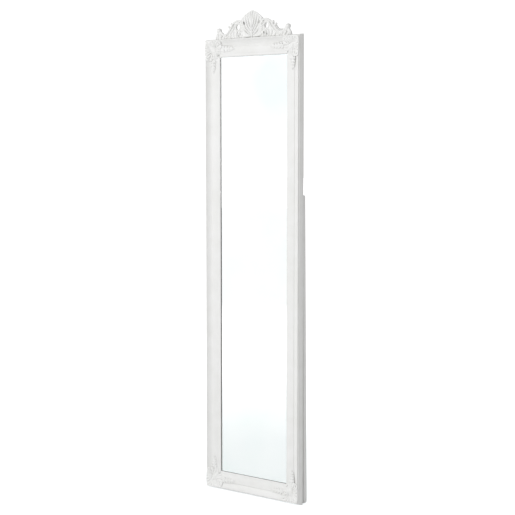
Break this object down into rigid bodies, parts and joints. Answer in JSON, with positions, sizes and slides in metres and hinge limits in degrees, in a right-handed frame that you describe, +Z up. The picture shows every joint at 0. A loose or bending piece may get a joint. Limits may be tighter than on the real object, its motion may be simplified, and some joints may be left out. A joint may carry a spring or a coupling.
{
  "type": "easel-back floor mirror",
  "caption": "Tall free-standing floor mirror in a white carved-style frame with a pierced crest, leaf corners and a hinged rear stand on slotted stays.",
  "frame": {"origin": "centre of the overall box on the floor, under the bottom rail and the stand's feet", "axes": "+Z up along the mirror's height, -Y out of the glass towards the viewer, +X to the viewer's right"},
  "size_m": [0.4, 0.0566, 1.6005],
  "materials": {
    "painted_wood": "white satin paint on moulded wood",
    "painted_resin": "cast resin ornament in the same white satin paint",
    "glass": "clear 3 mm float glass with a seamed edge",
    "silver": "silver coat behind the glass",
    "fibreboard": "plain brown hardboard",
    "zinc_steel": "bright zinc plate",
    "felt": "white pressed felt"
  },
  "bodies": {
    "frame": {"left_stile": "painted_wood", "right_stile": "painted_wood", "top_rail": "painted_wood", "bottom_rail": "painted_wood", "top_left_corner_leaf": "painted_resin", "top_right_corner_leaf": "painted_resin", "bottom_left_corner_leaf": "painted_resin", "bottom_right_corner_leaf": "painted_resin", "crest": "painted_resin", "left_crest_plate": "zinc_steel", "right_crest_plate": "zinc_steel", "left_crest_screw_lower": "zinc_steel", "left_crest_screw_upper": "zinc_steel", "right_crest_screw_lower": "zinc_steel", "right_crest_screw_upper": "zinc_steel", "glass_pane": "glass", "silver_coat": "silver", "backing_board": "fibreboard", "board_screw_bottom": "zinc_steel", "board_screw_top": "zinc_steel", "board_screw_left_low": "zinc_steel", "board_screw_left_middle": "zinc_steel", "board_screw_left_high": "zinc_steel", "board_screw_right_low": "zinc_steel", "board_screw_right_middle": "zinc_steel", "board_screw_right_high": "zinc_steel", "left_hinge_frame_leaf": "zinc_steel", "left_hinge_pin": "zinc_steel", "left_hinge_frame_screw_1": "zinc_steel", "left_hinge_frame_screw_2": "zinc_steel", "left_stay_bracket": "zinc_steel", "left_stay_rivet": "zinc_steel", "left_bracket_screw_upper": "zinc_steel", "left_bracket_screw_lower": "zinc_steel", "right_hinge_frame_leaf": "zinc_steel", "right_hinge_pin": "zinc_steel", "right_hinge_frame_screw_1": "zinc_steel", "right_hinge_frame_screw_2": "zinc_steel", "right_stay_bracket": "zinc_steel", "right_stay_rivet": "zinc_steel", "right_bracket_screw_upper": "zinc_steel", "right_bracket_screw_lower": "zinc_steel"},
    "stand": {"upper_stand_rail": "painted_wood", "lower_stand_rail": "painted_wood", "left_stand_post": "painted_wood", "left_foot_pad": "felt", "left_hinge_stand_leaf": "zinc_steel", "left_hinge_stand_screw_1": "zinc_steel", "left_hinge_stand_screw_2": "zinc_steel", "left_stay_pin": "zinc_steel", "right_stand_post": "painted_wood", "right_foot_pad": "felt", "right_hinge_stand_leaf": "zinc_steel", "right_hinge_stand_screw_1": "zinc_steel", "right_hinge_stand_screw_2": "zinc_steel", "right_stay_pin": "zinc_steel"},
    "left_stay": {"left_stay_bar": "zinc_steel"},
    "right_stay": {"right_stay_bar": "zinc_steel"}
  },
  "joints": [
    {"name": "stand_hinge", "type": "hinge", "parent": "frame", "child": "stand", "pos_m": [0, 0.00392, 1.0061], "axis": [1, 0, 0], "range_deg": [-0.6, 17.4]},
    {"name": "left_stay_pivot", "type": "hinge", "parent": "frame", "child": "left_stay", "pos_m": [-0.1624, 0.01042, 0.9061], "axis": [1, 0, 0], "range_deg": [-0.9, 26]},
    {"name": "right_stay_pivot", "type": "hinge", "parent": "frame", "child": "right_stay", "pos_m": [0.1624, 0.01042, 0.9061], "axis": [1, 0, 0], "range_deg": [-0.9, 26]}
  ],
  "couplings": [
    {"joint": "left_stay_pivot", "follows": "stand_hinge", "ratio": 1.49},
    {"joint": "right_stay_pivot", "follows": "stand_hinge", "ratio": 1.49}
  ]
}
